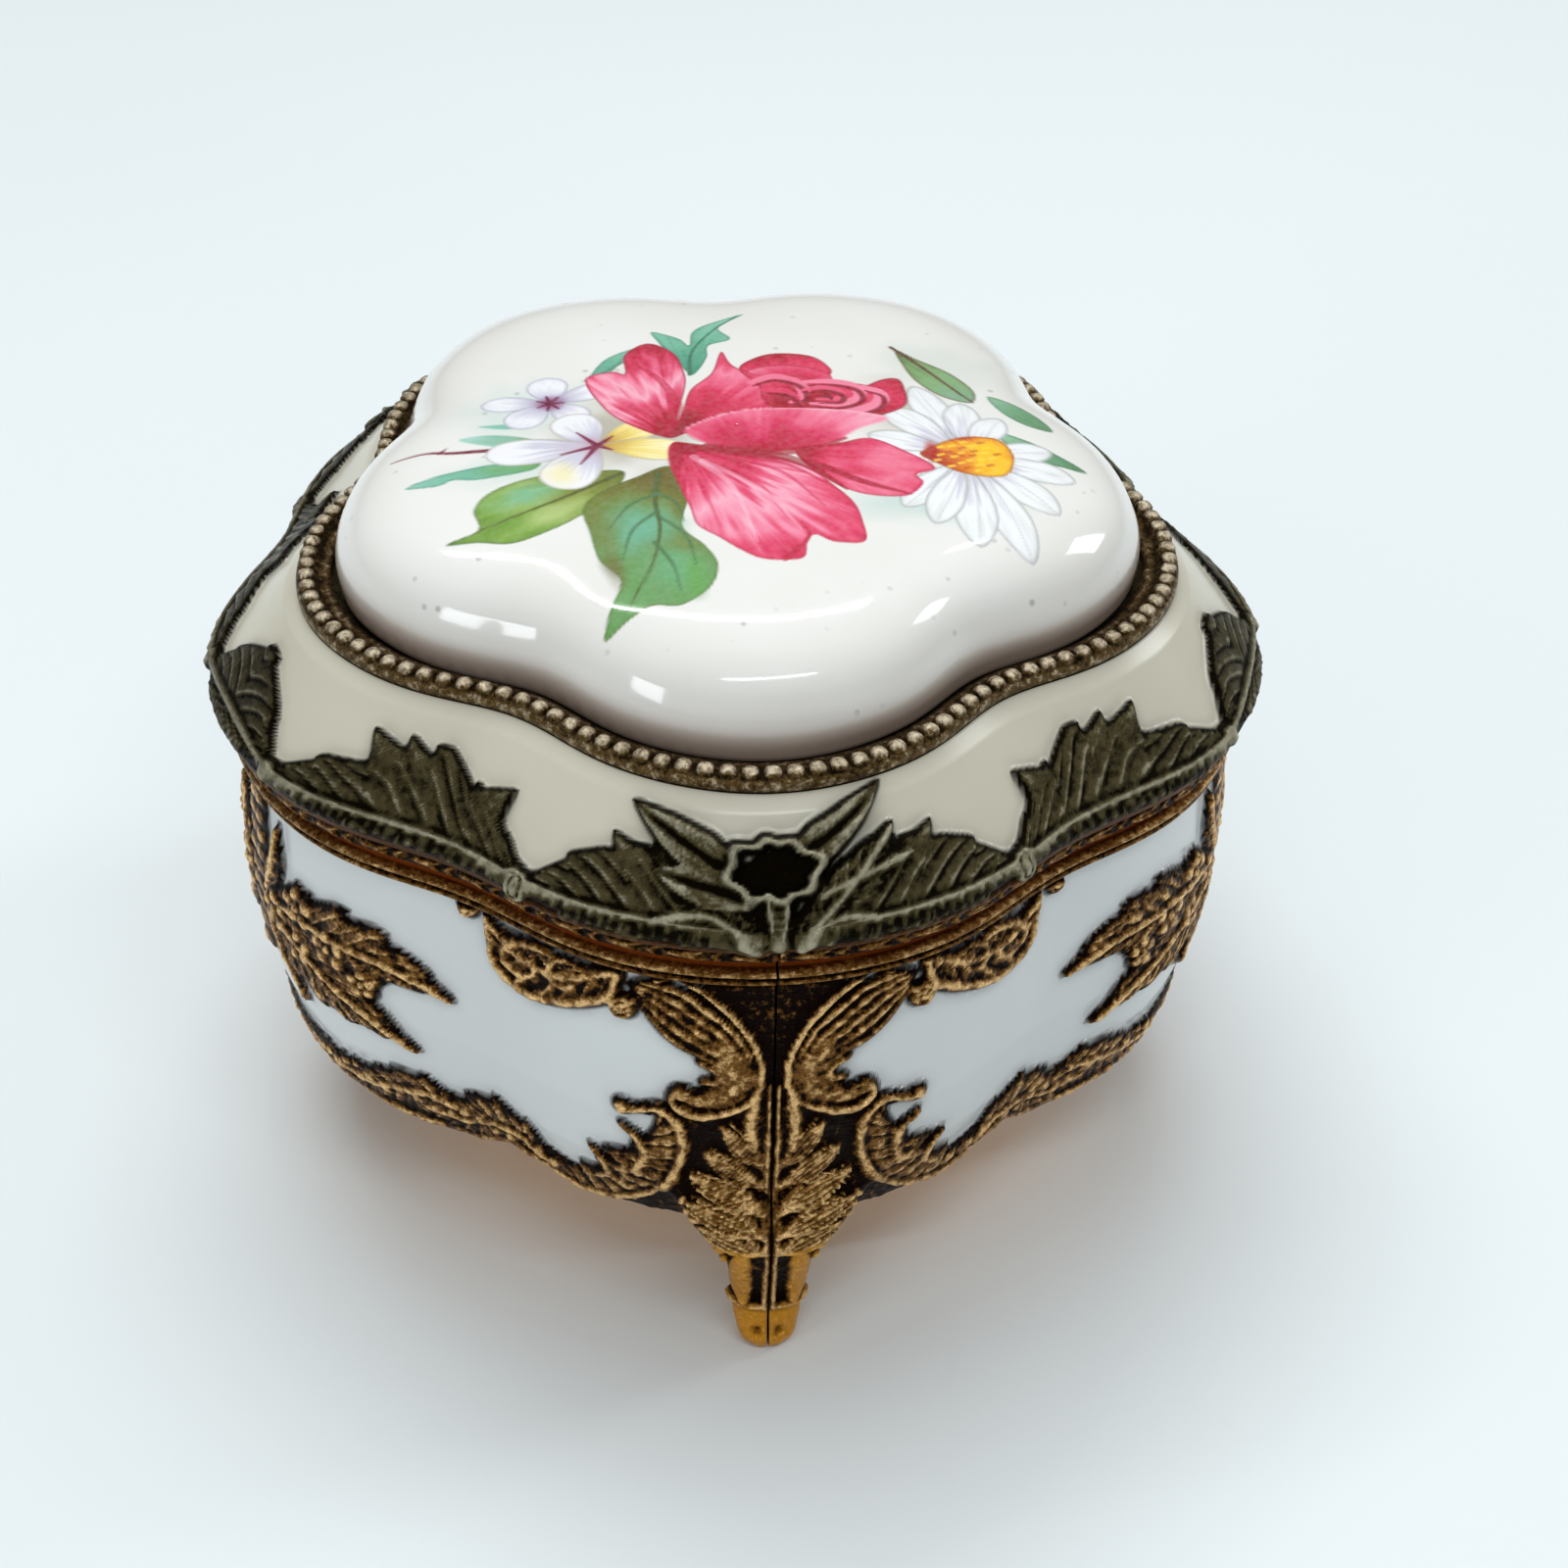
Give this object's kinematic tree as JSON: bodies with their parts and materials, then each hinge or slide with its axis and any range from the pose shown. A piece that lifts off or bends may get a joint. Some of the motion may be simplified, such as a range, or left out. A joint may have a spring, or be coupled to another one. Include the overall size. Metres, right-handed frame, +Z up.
{
  "type": "footed trinket box",
  "caption": "Footed five-lobed trinket box with gilded cast walls, an enamelled hinged lid, a beaded bezel and a domed, flower-painted porcelain insert.",
  "frame": {"origin": "on the surface it stands on, under the middle of the box", "axes": "+Z up, +Y towards the hinge, -Y towards the front leg, +X to the right seen from the front"},
  "size_m": [0.1246, 0.126, 0.0911],
  "materials": {
    "porcelain": "glossy warm white glaze with a printed flower spray and fine grey specks",
    "lid_enamel": "satin ivory enamel on a casting, with relief leaves in aged brass",
    "wall_enamel": "bluish white enamel fields between gilded cast scrolls, leaves and legs",
    "aged_brass": "greenish antique brass, rubbed bright on the high points",
    "gilt": "antique gold with dark recesses",
    "steel": "plated steel",
    "velvet": "deep red short-pile velvet",
    "card": "grey-brown board"
  },
  "bodies": {
    "box": {"base_plate": "steel", "base_screw_front": "steel", "base_screw_left": "steel", "base_screw_right": "steel", "body_panel_back": "wall_enamel", "body_panel_left": "wall_enamel", "body_panel_right": "wall_enamel", "floor_board": "card", "floor_pad": "velvet", "hinge_leaf_body": "gilt", "hinge_pin": "steel", "hinge_rivet_body_1": "gilt", "hinge_rivet_body_2": "gilt", "joint_strap_front": "steel", "joint_strap_left": "steel", "joint_strap_right": "steel", "strap_screw_front_1": "steel", "strap_screw_front_2": "steel", "strap_screw_left_1": "steel", "strap_screw_left_2": "steel", "strap_screw_right_1": "steel", "strap_screw_right_2": "steel", "wall_liner": "velvet"},
    "lid": {"bead_bezel": "aged_brass", "hinge_leaf_lid": "aged_brass", "hinge_rivet_lid_1": "aged_brass", "hinge_rivet_lid_2": "aged_brass", "lid_backing_plate": "steel", "lid_casting": "lid_enamel", "lid_liner_board": "card", "lid_liner_pad": "velvet", "lid_screw_1": "steel", "lid_screw_2": "steel", "lid_screw_3": "steel", "lid_screw_4": "steel", "porcelain_insert": "porcelain"}
  },
  "joints": [
    {"name": "lid_hinge", "type": "hinge", "parent": "box", "child": "lid", "pos_m": [0, 0.06132, 0.063], "axis": [-1, 0, 0], "range_deg": [0, 95]}
  ]
}
